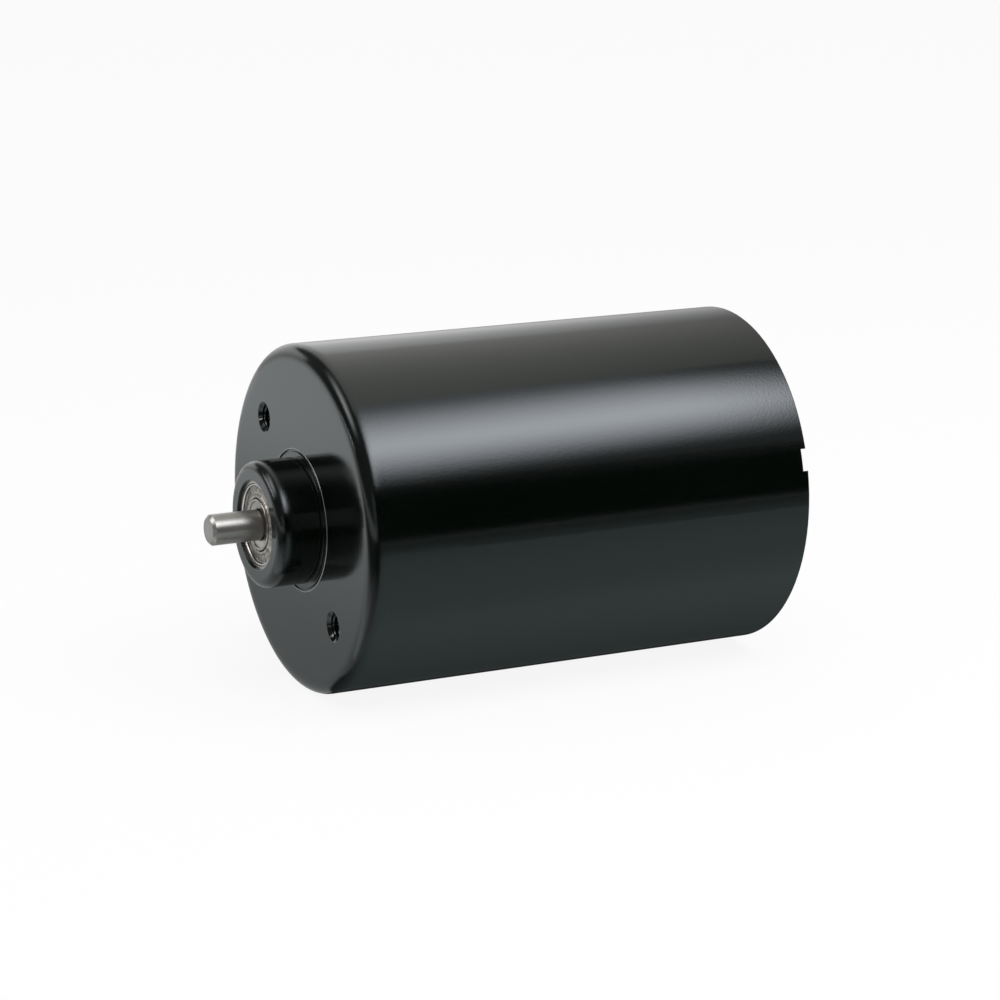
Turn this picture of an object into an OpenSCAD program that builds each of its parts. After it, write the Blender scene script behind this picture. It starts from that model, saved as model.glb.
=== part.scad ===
// Brushless dc motor with a plain drawn can, a front bearing boss and a built-in driver board.
// The motor's axis lies along Y. The shaft points to -Y, and the mounting face is the plane y = 0.

/* [Can] */
// Outer diameter of the can
can_d = 36; // [35:0.5:40]
// Length from the mounting face to the rear rim
can_len = 50; // [49:0.5:60]
// Wall thickness at the rear rim
can_wall = 1.0; // [0.8:0.1:1.2]
// How much thicker the wall is where the stator is pressed in
seat_step = 0.25; // [0.2:0.05:0.4]
// Thickness of the front plate
plate_t = 2.5; // [2:0.1:3.5]
// Outer radius between the front plate and the wall
can_edge_r = 1.2; // [0.5:0.1:2]
// Inner radius behind the front plate
can_inner_r = 0.8; // [0.3:0.1:1]

/* [Bearing boss] */
// Diameter of the front boss
boss_d = 13; // [12.5:0.1:14]
// Height of the boss above the mounting face
boss_h = 4.8; // [4.3:0.1:6]
// Rounding of the boss's front edge
boss_edge_r = 0.8; // [0.2:0.1:1]
// Thickness of the lip that holds the bearing at the boss's front
lip_t = 0.3; // [0.2:0.1:0.6]
// How far the lip reaches over the bearing's outer ring
lip_reach = 0.1625; // [0.1:0.0125:0.4]
// Gap between the boss and the fine groove round it
groove_gap = 0.55; // [0.5:0.025:1.5]
// Width of the fine groove
groove_w = 0.25; // [0.2:0.05:0.6]
// Depth of the fine groove
groove_t = 0.2; // [0.1:0.05:0.4]

/* [Mounting holes] */
// Diameter of the circle through the hole centres
hole_pcd = 25; // [22:0.5:28]
// Diameter of the tapped hole's core
hole_d = 2.5; // [2:0.05:3]
// Diameter of the countersink at the hole's mouth
mouth_d = 3.2; // [3.1:0.1:4]
// Direction of the first hole, from the top towards +X
hole_clock = -43; // [-90:1:90]

/* [Rear rim] */
// Width of a notch in the rim
notch_w = 2.3; // [1:0.1:4]
// Depth of a notch in the rim
notch_h = 0.57; // [0.3:0.01:0.7]
// Direction of the first notch, from the top towards +X
notch_clock = 74.7; // [0:0.1:90]
// Depth of the end bell's face below the rim
bell_recess = 1.2; // [0.9:0.1:2]
// Height of a crimp stake along the axis
stake_h = 0.7; // [0.4:0.1:0.8]
// How far a crimp stake reaches inwards
stake_reach = 0.6; // [0.4:0.1:1]
// Width of a crimp stake along the rim
stake_w = 2.4; // [1.5:0.1:4]

/* [End bell] */
// Depth of the bell's skirt from its face
bell_h = 5; // [4:0.1:6]
// Thickness of the skirt's wall
bell_wall = 1.4; // [1:0.1:2]
// Thickness of the bell's plate
bell_plate_t = 2.2; // [1.8:0.1:3]
// Diameter of the rear bearing boss
bell_boss_d = 12.4; // [12:0.1:13.5]
// Depth of the recess in the bell's face
bell_pocket_t = 0.8; // [0.4:0.1:1.2]
// Width of the ribs across the recess
bell_rib_w = 1.2; // [0.8:0.1:2]
// Diameter of the hole behind the shaft's end
bell_hole_d = 4.4; // [3:0.1:6]
// Thickness of the pocket's floor behind the rear bearing
bell_floor_t = 0.9; // [0.6:0.1:1.2]
// Diameter of a post under the board
post_d = 3.8; // [3.2:0.1:4.4]

/* [Bearings] */
// Bore of a bearing
bearing_bore_d = 3.175; // [3:0.005:3.2]
// Outer diameter of a bearing
bearing_d = 9.525; // [9.4:0.005:9.6]
// Width of a bearing
bearing_w = 3.967; // [3.6:0.001:4]
// Diameter of a ball
ball_d = 1.588; // [1.5:0.001:1.6]
// Radial play between a ball and its groove
ball_play = 0.03; // [0.01:0.01:0.05]
// Bevel of the rings' corners
ring_bevel = 0.15; // [0.1:0.01:0.2]
// Width of the outer ring's face that a shield leaves bare
shield_margin_w = 0.5125; // [0.4:0.0125:0.7]
// Gap between a shield's raised lip and the inner ring
shield_gap = 0.1; // [0.08:0.01:0.15]
// Width of a shield's raised lip
shield_lip_w = 0.3; // [0.2:0.05:0.4]
// Thickness of a shield
shield_t = 0.15; // [0.1:0.01:0.2]
// Depth of a shield's face below the ring's face
shield_depth = 0.25; // [0.2:0.01:0.3]
// Radial thickness of the cage
cage_t = 0.7; // [0.5:0.05:0.75]
// Width of the cage
cage_w = 2.1; // [2:0.05:2.4]
// Play between a ball and its cage pocket
cage_play = 0.05; // [0.03:0.01:0.08]
// Thickness of the wave washer's strip
washer_t = 0.15; // [0.1:0.01:0.2]
// Free height of the wave washer
washer_h = 0.5; // [0.4:0.05:0.8]
// Radial width of the wave washer
washer_w = 1.2; // [0.8:0.1:1.4]

/* [Shaft] */
// How far the shaft stands out from the mounting face
shaft_out = 9.8; // [8:0.1:16]
// Diameter of the shaft's thicker middle
shaft_mid_d = 5; // [4:0.1:5.2]
// Bevel of the shaft's ends
shaft_bevel = 0.3; // [0.1:0.05:0.5]
// Length of the adhesive groove under the front bearing
glue_groove_w = 0.8; // [0.7:0.05:1]
// Depth of the adhesive groove
glue_groove_t = 0.2; // [0.18:0.01:0.3]
// Length of the front spacer
front_spacer_w = 1.6; // [1:0.1:2.5]
// Length of the rear spacer
rear_spacer_w = 1.6; // [1:0.1:2.5]
// Gap between the shaft's rear end and the pocket's floor
shaft_end_gap = 0.6; // [0.3:0.1:1]

/* [Stator] */
// Distance from the mounting face to the stator core
stack_s = 9; // [8.5:0.1:12]
// Gap between the stator core and the driver board
core_to_board = 6.8; // [6:0.1:9]
// Width of a tooth
tooth_w = 3.2; // [2.6:0.1:3.4]
// Thickness of a tooth's shoe
shoe_t = 0.9; // [0.6:0.1:1]
// Gap between two shoes
slot_gap = 1.1; // [0.8:0.1:1.6]
// Thickness of the insulator's end plate
insulator_t = 0.8; // [0.6:0.1:1.2]
// Thickness of the insulator's slot walls
liner_t = 0.4; // [0.3:0.05:0.5]
// Thickness of a coil beside its tooth
coil_t = 1.6; // [1.2:0.1:1.7]
// Thickness of a coil past the end of the core
coil_end_t = 2.4; // [1.5:0.1:2.8]
// Rounding of a coil's inner corners
coil_r = 0.6; // [0.3:0.1:1]
// Gap between a coil and the rims that hold it
coil_gap = 0.15; // [0.1:0.05:0.3]
// Diameter of a winding terminal
terminal_d = 0.9; // [0.6:0.1:1]

/* [Rotor] */
// Gap between the rotor and the stator
air_gap = 0.3; // [0.25:0.05:0.5]
// Thickness of the sleeve over the magnets
sleeve_t = 0.2; // [0.15:0.05:0.3]
// Gap between two magnets
magnet_gap = 0.3; // [0.2:0.05:0.6]
// How far the rotor is longer than the stator core, at each end
rotor_over = 0.5; // [0:0.1:1]
// Thickness of a balance ring
balance_t = 2; // [1.5:0.1:2.5]
// Radial step from the rotor core in to a balance ring
balance_step = 0.5; // [0.3:0.1:1]

/* [Driver board] */
// Thickness of the board
board_t = 1.2; // [0.8:0.1:1.6]
// Gap between the board's edge and the can
board_gap = 0.45; // [0.3:0.05:0.8]
// Diameter of the board's middle hole
board_hole_d = 10.4; // [8:0.1:11]
// Space between the board and the end bell's plate
board_room = 5.6; // [5.5:0.1:6.2]
// Diameter of a board screw
screw_d = 2; // [1.6:0.1:2.2]
// Diameter of a board screw's head
screw_head_d = 3.4; // [3:0.1:3.8]
// Height of a board screw's head
screw_head_h = 1.3; // [1:0.1:1.6]
// Length of a board screw below its head
screw_len = 4; // [3:0.1:5]
// Play of a board screw in the board
screw_play = 0.1; // [0.05:0.05:0.2]
// Gap between two parts on the board
part_gap = 0.3; // [0.2:0.1:0.5]
// Width of a Hall sensor
hall_w = 4; // [3:0.1:4.2]
// Thickness of a Hall sensor
hall_t = 1.5; // [1:0.1:1.6]
// Height of a Hall sensor
hall_h = 3; // [2:0.1:3.2]
// Gap between a Hall sensor and the magnets
hall_gap = 1.2; // [0.8:0.1:1.5]
// Width of a Hall sensor's lead
lead_w = 0.4; // [0.3:0.05:0.5]
// Side of the driver chip
chip_w = 6; // [4:0.5:6]
// Thickness of the driver chip
chip_t = 1; // [0.8:0.1:1.6]
// Length of a power transistor
transistor_l = 4.8; // [3:0.1:5]
// Width of a power transistor
transistor_w = 3.8; // [3:0.1:4]
// Thickness of a power transistor
transistor_t = 1.5; // [1:0.1:1.8]
// Diameter of a capacitor
capacitor_d = 5; // [4:0.1:5]
// Height of a capacitor
capacitor_h = 5; // [4:0.1:5.4]

/* [Connector] */
// Number of ways
ways = 5; // [2:1:5]
// Distance between two pins
pin_step = 2; // [1.5:0.1:2]
// Distance from the last pin to the housing's end
header_end = 1.95; // [1.5:0.05:2]
// Depth of the housing across its row of pins
header_t = 4.5; // [4:0.1:4.8]
// Height of the housing
header_h = 6; // [5.9:0.1:7]
// Wall of the housing
header_wall = 0.6; // [0.5:0.1:0.8]
// Thickness of the housing's base
header_base = 1.6; // [1:0.1:2]
// Side of a square pin
pin_w = 0.5; // [0.4:0.05:0.6]
// How far a pin stops below the housing's mouth
pin_short = 1; // [0.5:0.1:2]
// How far a pin stands through the board
pin_tail = 0.8; // [0.4:0.1:1.2]
// Gap round the housing in the bell's window
window_gap = 0.25; // [0.1:0.05:0.4]
// Least width of the bell's plate between the window and the skirt
window_rim_w = 0.8; // [0.5:0.1:1.2]

/* [Hidden] */
$fn = 64;

// Overrun of every cut past the face that it opens
over = can_wall / 2;

balls = 7;
teeth = 9;
poles = 6;
phases = 3;
posts_clock = [0, 118, 242];
halls_clock = [-80, 0, 80];
terminals_clock = [-20, 100, 220];
transistors_middle_clock = 294;
capacitors_middle_clock = 35;
chip_clock = 80;
header_clock = 180;
stakes_clock = [30, 120, 210, 300];
bell_ribs_clock = [0, 45, 90, 135, 225, 270, 315];
balance_marks = 2;
stator_shoe_share = 0.8;
board_part_r_share = 0.62;
core_hole_share = 0.4;
// Thickness of a bearing ring at its shoulders, as a share of the room between bore and outside
ring_share = 0.3346;
// Proportions of the electrical steel and the magnets, as shares of the stator's radius
yoke_share = 0.143;
slot_share = 0.254;
magnet_share = 0.1;

can_r = can_d / 2;
rim_r = can_r - can_wall;
stator_r = rim_r - seat_step;

// Places along the axis, from the mounting face towards the rear
boss_s = -boss_h;
front_bearing_s = boss_s + lip_t;
bell_face_s = can_len - bell_recess;
bell_front_s = bell_face_s - bell_h;
bell_plate_s = bell_face_s - bell_plate_t;
pocket_floor_s = can_len - bell_floor_t;
rear_bearing_s = pocket_floor_s - washer_h - bearing_w;
board_s = bell_plate_s - board_room - board_t;
board_back_s = board_s + board_t;
front_shoulder_s = front_bearing_s + bearing_w + front_spacer_w;
rear_shoulder_s = rear_bearing_s - rear_spacer_w;
stack_end_s = board_s - core_to_board;
stack_len = stack_end_s - stack_s;
rotor_s = stack_s - rotor_over;
rotor_end_s = stack_end_s + rotor_over;

// Radii and diameters of the bearings
ring_t = (bearing_d - bearing_bore_d) / 2 * ring_share;
inner_land_d = bearing_bore_d + ring_t * 2;
outer_land_d = bearing_d - ring_t * 2;
shield_d = bearing_d - shield_margin_w * 2;
shield_hole_d = inner_land_d + shield_gap * 2;
race_r = (bearing_bore_d + bearing_d) / 4;
race_groove_r = ball_d / 2 + ball_play;

// Radii of the stator and rotor
yoke_t = stator_r * yoke_share;
yoke_r = stator_r - yoke_t;
shoe_r = yoke_r - stator_r * slot_share;
magnet_t = stator_r * magnet_share;
bore_r = shoe_r - shoe_t;
rotor_r = bore_r - air_gap;
magnet_r = rotor_r - sleeve_t;
core_r = magnet_r - magnet_t;
tooth_step = 360 / teeth;

// Sizes on the board
board_r = stator_r - board_gap;
board_part_r = board_r * board_part_r_share + board_hole_d / 2 * (1 - board_part_r_share);
post_place_r = board_r - post_d / 2 - board_gap * 2;
terminal_r = (yoke_r + stator_r) / 2;
header_w = pin_step * (ways - 1) + header_end * 2;
latch_place = header_w / 2 - header_end - pin_step / 2;
window_t = header_t + window_gap * 2;
window_w = header_w + window_gap * 2;
header_r = sqrt(pow(rim_r - bell_wall - window_rim_w, 2) - pow(window_w / 2, 2)) - window_t / 2;
transistor_step = 2 * atan((transistor_w / 2 + part_gap) / (board_part_r - transistor_l / 2));
transistors_clock = [for (k = [-1, 0, 1]) transistors_middle_clock + k * transistor_step];
capacitor_step = 2 * asin((capacitor_d / 2 + part_gap) / board_part_r);
capacitors_clock = [for (k = [-1, 1]) capacitors_middle_clock + k * capacitor_step / 2];

// Turns a piece drawn along Z so that it runs along the motor's axis
module axial() {
    rotate([-90, 0, 0]) children();
}

// Turns a piece from local +X to a direction given from the top towards +X
module clock(angle) {
    rotate([0, 0, angle - 90]) children();
}

// A corner to take off for a rounded edge, with the edge at the origin and the solid towards +X and +Y
module round_corner(r) {
    difference() {
        translate([-over, -over]) square(r + over);
        translate([r, r]) circle(r);
    }
}

// A corner to take off for a bevel, placed as round_corner is
module bevel_corner(c) {
    polygon([[-over, -over], [c + over, -over], [-over, c + over]]);
}

// A straight ring from s to s + h
module ring(outer, inner, s, h) {
    translate([0, 0, s]) difference() {
        cylinder(r = outer, h = h);
        translate([0, 0, -over]) cylinder(r = inner, h = h + over * 2);
    }
}

// The can: a drawn cup whose front plate carries the boss
module can_profile() {
    difference() {
        union() {
            square([can_r, can_len]);
            translate([0, boss_s]) square([boss_d / 2, boss_h + plate_t / 2]);
        }
        difference() {
            translate([-over, plate_t]) square([stator_r + over, can_len]);
            translate([stator_r, plate_t]) mirror([1, 0]) round_corner(can_inner_r);
        }
        translate([-over, bell_front_s]) square([rim_r + over, can_len]);
        translate([-over, boss_s - over])
            square([bearing_d / 2 - lip_reach + over, boss_h + plate_t + over * 2]);
        translate([-over, front_bearing_s]) square([bearing_d / 2 + over, boss_h + plate_t]);
        translate([can_r, 0]) mirror([1, 0]) round_corner(can_edge_r);
        translate([boss_d / 2, boss_s]) mirror([1, 0]) round_corner(boss_edge_r);
        translate([boss_d / 2 + groove_gap, -over]) square([groove_w, groove_t + over]);
    }
}

module tapped_hole() {
    mouth_h = (mouth_d - hole_d) / 2;
    translate([0, 0, -over]) cylinder(d = hole_d, h = plate_t + over * 2);
    cylinder(d1 = mouth_d, d2 = hole_d, h = mouth_h);
    translate([0, 0, -over]) cylinder(d = mouth_d, h = over);
}

// A bent-in bit of the rim that lies on the end bell's face
module crimp_stake() {
    translate([rim_r, stake_w / 2, bell_face_s]) rotate([90, 0, 0]) linear_extrude(stake_w)
        polygon([[-stake_reach, 0], [can_wall / 2, 0], [can_wall / 2, stake_h], [0, stake_h]]);
}

module can() color([0.11, 0.115, 0.12]) axial() {
    difference() {
        union() {
            rotate_extrude() can_profile();
            for (angle = stakes_clock) clock(angle) crimp_stake();
        }
        for (turn = [0, 180]) {
            clock(hole_clock + turn) translate([hole_pcd / 2, 0, 0]) tapped_hole();
            clock(notch_clock + turn) translate([rim_r - over, -notch_w / 2, can_len - notch_h])
                cube([can_wall + over * 2, notch_w, notch_h + over]);
        }
    }
}

// The end bell, with the rear bearing's pocket open towards the front
module bell_profile() {
    difference() {
        union() {
            translate([0, bell_front_s]) square([rim_r, bell_h]);
            translate([0, rear_bearing_s]) square([bell_boss_d / 2, can_len - rear_bearing_s]);
        }
        translate([bell_boss_d / 2, bell_front_s - over])
            square([rim_r - bell_wall - bell_boss_d / 2, bell_h - bell_plate_t + over]);
        translate([-over, bell_front_s - over])
            square([bell_boss_d / 2 + over * 2, rear_bearing_s - bell_front_s + over]);
        translate([-over, rear_bearing_s - over])
            square([bearing_d / 2 + over, pocket_floor_s - rear_bearing_s + over]);
        translate([-over, pocket_floor_s - over]) square([bell_hole_d / 2 + over, bell_floor_t + over * 2]);
        translate([bell_boss_d / 2, can_len]) mirror([1, 0]) mirror([0, 1]) bevel_corner(shaft_bevel);
    }
}

// The shallow recess round the boss, crossed by ribs
module bell_recess_cut() {
    inner = bell_boss_d / 2 + bell_rib_w;
    outer = rim_r - bell_wall - stake_reach;
    translate([0, 0, bell_face_s - bell_pocket_t]) difference() {
        ring(outer, inner, 0, bell_pocket_t + over);
        for (angle = bell_ribs_clock) clock(angle)
            translate([0, -bell_rib_w / 2, -over]) cube([rim_r, bell_rib_w, bell_pocket_t + over * 3]);
        clock(header_clock) translate([0, -header_w / 2 - bell_rib_w - window_gap, -over])
            cube([rim_r, header_w + (bell_rib_w + window_gap) * 2, bell_pocket_t + over * 3]);
    }
}

module end_bell() color([0.09, 0.09, 0.095]) axial() {
    difference() {
        union() {
            rotate_extrude() bell_profile();
            for (angle = posts_clock) clock(angle)
                translate([post_place_r, 0, board_back_s])
                    cylinder(d = post_d, h = board_room + bell_plate_t / 2);
        }
        bell_recess_cut();
        for (angle = posts_clock) clock(angle)
            translate([post_place_r, 0, board_back_s - over])
                cylinder(d = screw_d, h = screw_len - board_t + over);
        clock(header_clock) translate([header_r - window_t / 2, -window_w / 2, bell_plate_s - over])
            cube([window_t, window_w, bell_plate_t + over * 2]);
    }
}

// A washer bent into three waves, swept round as one ring of square sections
module wave_washer() color([0.7, 0.7, 0.68]) axial() {
    waves = 3;
    steps = 48;
    outer = bearing_d / 2 - ring_bevel;
    swing = (washer_h - washer_t) / 2;
    middle = pocket_floor_s - washer_h / 2;
    section = [[-washer_w, -washer_t / 2], [0, -washer_t / 2], [0, washer_t / 2], [-washer_w, washer_t / 2]];
    points = [for (i = [0 : steps - 1], p = section)
        let (angle = 360 * i / steps)
            [(outer + p[0]) * cos(angle), (outer + p[0]) * sin(angle),
                middle + p[1] + swing * cos(waves * angle)]];
    faces = [for (i = [0 : steps - 1], k = [0 : 3], half = [0, 1])
        let (a = i * 4 + k, b = i * 4 + (k + 1) % 4, c = ((i + 1) % steps) * 4 + (k + 1) % 4,
            d = ((i + 1) % steps) * 4 + k)
            half == 0 ? [a, b, c] : [a, c, d]];
    polyhedron(points, faces);
}

// The bearings, drawn with their front face at s = 0
module outer_ring_profile() {
    bed = shield_depth + shield_t;
    difference() {
        translate([outer_land_d / 2, 0]) square([(bearing_d - outer_land_d) / 2, bearing_w]);
        translate([race_r, bearing_w / 2]) circle(race_groove_r);
        for (s = [-over, bearing_w - bed])
            translate([outer_land_d / 2 - over, s])
                square([(shield_d - outer_land_d) / 2 + over, bed + over]);
        translate([bearing_d / 2, 0]) mirror([1, 0]) bevel_corner(ring_bevel);
        translate([bearing_d / 2, bearing_w]) mirror([1, 0]) mirror([0, 1]) bevel_corner(ring_bevel);
    }
}

module inner_ring_profile() {
    difference() {
        translate([bearing_bore_d / 2, 0]) square([(inner_land_d - bearing_bore_d) / 2, bearing_w]);
        translate([race_r, bearing_w / 2]) circle(race_groove_r);
        translate([bearing_bore_d / 2, 0]) bevel_corner(ring_bevel);
        translate([bearing_bore_d / 2, bearing_w]) mirror([0, 1]) bevel_corner(ring_bevel);
    }
}

module shield_profile() {
    translate([shield_hole_d / 2 + shield_lip_w, shield_depth])
        square([(shield_d - shield_hole_d) / 2 - shield_lip_w, shield_t]);
    translate([shield_hole_d / 2, shield_depth - shield_t])
        square([shield_lip_w, shield_t * 2]);
}

module bearing_outer_ring(s) color([0.72, 0.73, 0.74]) axial() translate([0, 0, s])
    rotate_extrude() outer_ring_profile();

module bearing_inner_ring(s) color([0.76, 0.77, 0.78]) axial() translate([0, 0, s])
    rotate_extrude() inner_ring_profile();

module bearing_balls(s) color([0.85, 0.85, 0.86]) axial() translate([0, 0, s + bearing_w / 2])
    for (i = [0 : balls - 1]) rotate([0, 0, 360 * i / balls]) translate([race_r, 0, 0]) sphere(d = ball_d);

module bearing_cage(s) color([0.8, 0.7, 0.4]) axial() translate([0, 0, s + bearing_w / 2]) difference() {
    ring(race_r + cage_t / 2, race_r - cage_t / 2, -cage_w / 2, cage_w);
    for (i = [0 : balls - 1]) rotate([0, 0, 360 * i / balls]) translate([race_r - cage_t / 2 - over, 0, 0])
        rotate([0, 90, 0]) cylinder(d = ball_d + cage_play * 2, h = cage_t + over * 2);
}

module bearing_shields(s) color([0.62, 0.63, 0.64]) axial() translate([0, 0, s]) {
    rotate_extrude() shield_profile();
    translate([0, 0, bearing_w]) mirror([0, 0, 1]) rotate_extrude() shield_profile();
}

// The stator, drawn flat and then extruded
module tooth_row() {
    for (i = [0 : teeth - 1]) clock(i * tooth_step) children();
}

module wedge(half_angle, reach) {
    polygon([[0, 0], [reach * cos(half_angle), -reach * sin(half_angle)],
        [reach * cos(half_angle), reach * sin(half_angle)]]);
}

module arc_piece(outer, inner, half_angle) {
    intersection() {
        difference() {
            circle(outer);
            circle(inner);
        }
        wedge(half_angle, outer * 2);
    }
}

shoe_half_angle = tooth_step / 2 - asin(slot_gap / 2 / bore_r);

module stator_outline() {
    difference() {
        circle(stator_r);
        circle(yoke_r);
    }
    tooth_row() {
        arc_piece(shoe_r, bore_r, shoe_half_angle);
        translate([shoe_r - shoe_t / 2, -tooth_w / 2])
            square([yoke_r - shoe_r + shoe_t / 2 + yoke_t / 2, tooth_w]);
    }
}

module stator_core() color([0.55, 0.56, 0.58]) axial()
    translate([0, 0, stack_s]) linear_extrude(stack_len) stator_outline();

// One slot insulator: end plate, slot walls and the rims that hold the coils, with the core towards +Z
module slot_insulator() {
    rim_h = coil_end_t + coil_gap;
    translate([0, 0, -insulator_t]) linear_extrude(insulator_t) {
        difference() {
            circle(stator_r - board_gap);
            circle(yoke_r - coil_gap);
        }
        tooth_row() {
            arc_piece(shoe_r, bore_r, shoe_half_angle);
            translate([shoe_r - shoe_t / 2, -tooth_w / 2 - liner_t])
                square([yoke_r - shoe_r + shoe_t, tooth_w + liner_t * 2]);
        }
    }
    tooth_row() for (side = [0, 1]) mirror([0, side, 0]) translate([shoe_r, tooth_w / 2, -insulator_t])
        cube([yoke_r - shoe_r - liner_t, liner_t, insulator_t + (stack_len - slot_gap) / 2]);
    translate([0, 0, -insulator_t - rim_h]) linear_extrude(rim_h + insulator_t / 2) {
        difference() {
            circle(yoke_r + liner_t);
            circle(yoke_r - coil_gap);
        }
        tooth_row() arc_piece(shoe_r, bore_r + liner_t, shoe_half_angle * stator_shoe_share);
    }
}

module front_slot_insulator() color([0.86, 0.84, 0.78]) axial()
    translate([0, 0, stack_s]) slot_insulator();

// The rear insulator has a boss for each winding terminal
module rear_slot_insulator() color([0.86, 0.84, 0.78]) axial() translate([0, 0, stack_end_s]) difference() {
    union() {
        mirror([0, 0, 1]) slot_insulator();
        for (angle = terminals_clock) clock(angle) translate([terminal_r, 0, insulator_t / 2])
            cylinder(d = terminal_d * 2, h = insulator_t / 2 + coil_end_t);
    }
    for (angle = terminals_clock) clock(angle) translate([terminal_r, 0, insulator_t])
        cylinder(d = terminal_d, h = coil_end_t + over);
}

module winding_terminals() color([0.8, 0.62, 0.3]) axial()
    for (angle = terminals_clock) clock(angle) translate([terminal_r, 0, stack_end_s + insulator_t])
        cylinder(d = terminal_d, h = board_back_s + pin_tail - stack_end_s - insulator_t);

// One coil: a racetrack round its tooth, filled to its outer shape
module coil() {
    inner_w = tooth_w + liner_t * 2;
    inner_h = stack_len + insulator_t * 2;
    outer_h = inner_h + coil_end_t * 2;
    from = shoe_r + coil_gap;
    intersection() {
        translate([from, 0, stack_s + stack_len / 2]) rotate([90, 0, 90]) linear_extrude(yoke_r - from)
            difference() {
                coil_outline(inner_w + coil_t * 2, outer_h, coil_r + coil_t);
                square([inner_w, inner_h], center = true);
            }
        translate([0, 0, stack_s + stack_len / 2 - outer_h / 2 - over])
            cylinder(r = yoke_r - coil_gap * 2, h = outer_h + over * 2);
    }
}

// A rectangle with round corners made of squares and circles, so that its curves stay true
module coil_outline(w, h, r) {
    square([w - r * 2, h], center = true);
    square([w, h - r * 2], center = true);
    for (x = [-1, 1], y = [-1, 1]) translate([x * (w / 2 - r), y * (h / 2 - r)]) circle(r);
}

module phase_coils(first) color([0.72, 0.38, 0.2]) axial()
    for (i = [first : phases : teeth - 1]) clock(i * tooth_step) coil();

// The driver board and what it carries
module driver_board() color([0.1, 0.32, 0.18]) axial() translate([0, 0, board_s]) difference() {
    cylinder(r = board_r, h = board_t);
    translate([0, 0, -over]) cylinder(d = board_hole_d, h = board_t + over * 2);
    for (angle = posts_clock) clock(angle) translate([post_place_r, 0, -over])
        cylinder(d = screw_d + screw_play * 2, h = board_t + over * 2);
    for (angle = terminals_clock) clock(angle) translate([terminal_r, 0, -over])
        cylinder(d = terminal_d + screw_play, h = board_t + over * 2);
    pin_row() translate([0, 0, -over]) cylinder(d = pin_w * 2, h = board_t + over * 2);
}

module board_screws() color([0.75, 0.75, 0.76]) axial()
    for (angle = posts_clock) clock(angle) translate([post_place_r, 0, board_s]) {
        cylinder(d = screw_d, h = screw_len);
        translate([0, 0, -screw_head_h]) cylinder(d = screw_head_d, h = screw_head_h);
    }

// Each sensor faces the magnets' ends and stands on three leads
module hall_sensors() color([0.12, 0.12, 0.13]) axial()
    for (angle = halls_clock)
        clock(angle) translate([core_r + (magnet_t - hall_t) / 2, 0, rotor_end_s + hall_gap]) {
        translate([0, -hall_w / 2, 0]) cube([hall_t, hall_w, hall_h]);
        for (k = [-1, 0, 1]) translate([(hall_t - lead_w) / 2, k * hall_w / 3 - lead_w / 2, hall_h / 2])
            cube([lead_w, lead_w, board_s - rotor_end_s - hall_gap - hall_h / 2]);
    }

module board_block(angle, size) {
    clock(angle) translate([board_part_r - size[0] / 2, -size[1] / 2, board_back_s]) cube(size);
}

module driver_chip() color([0.08, 0.08, 0.09]) axial()
    board_block(chip_clock, [chip_w, chip_w, chip_t]);

module power_transistors() color([0.1, 0.1, 0.11]) axial()
    for (angle = transistors_clock) board_block(angle, [transistor_l, transistor_w, transistor_t]);

module filter_capacitors() color([0.5, 0.52, 0.56]) axial()
    for (angle = capacitors_clock) clock(angle) translate([board_part_r, 0, board_back_s])
        cylinder(d = capacitor_d, h = capacitor_h);

// Places a pin's centre line at each way of the connector
module pin_row() {
    for (i = [0 : ways - 1])
        clock(header_clock) translate([header_r, (i - (ways - 1) / 2) * pin_step, 0]) children();
}

// The housing is a tray open to the rear, with a slot in its outer wall for the plug's latch
module connector_housing() color([0.85, 0.83, 0.76]) axial() translate([0, 0, board_back_s]) difference() {
    clock(header_clock) translate([header_r - header_t / 2, -header_w / 2, 0])
        cube([header_t, header_w, header_h]);
    clock(header_clock)
        translate([header_r - header_t / 2 + header_wall, -header_w / 2 + header_wall, header_base])
        cube([header_t - header_wall * 2, header_w - header_wall * 2, header_h]);
    for (side = [-1, 1]) clock(header_clock)
        translate([header_r + header_t / 2 - header_wall - over, side * latch_place - pin_w, header_h / 2])
            cube([header_wall + over * 2, pin_w * 2, header_h]);
    pin_row() translate([-pin_w / 2, -pin_w / 2, -over]) cube([pin_w, pin_w, header_base + over * 2]);
}

module connector_pins() color([0.85, 0.72, 0.4]) axial()
    pin_row() translate([-pin_w / 2, -pin_w / 2, board_s - pin_tail])
        cube([pin_w, pin_w, pin_tail + board_t + header_h - pin_short]);

// The shaft: a round output end, an adhesive groove under the front bearing, two journals and a thicker
// middle
module shaft_profile() {
    end_s = pocket_floor_s - shaft_end_gap;
    journal_r = bearing_bore_d / 2;
    difference() {
        union() {
            translate([0, -shaft_out]) square([journal_r, shaft_out + end_s]);
            translate([0, front_shoulder_s]) square([shaft_mid_d / 2, rear_shoulder_s - front_shoulder_s]);
        }
        translate([journal_r - glue_groove_t, front_bearing_s]) square([glue_groove_t + over, glue_groove_w]);
        translate([journal_r, -shaft_out]) mirror([1, 0]) bevel_corner(shaft_bevel);
        translate([journal_r, end_s]) mirror([1, 0]) mirror([0, 1]) bevel_corner(shaft_bevel);
    }
}

module shaft() color([0.7, 0.71, 0.72]) axial() rotate_extrude() shaft_profile();

module rotor_core() color([0.5, 0.51, 0.53]) axial() difference() {
    ring(core_r, shaft_mid_d / 2, rotor_s, rotor_end_s - rotor_s);
    for (i = [0 : poles - 1]) rotate([0, 0, i * 360 / poles])
        translate([(core_r + shaft_mid_d / 2) / 2, 0, rotor_s - over])
            cylinder(d = (core_r - shaft_mid_d / 2) * core_hole_share, h = rotor_end_s - rotor_s + over * 2);
}

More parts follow.
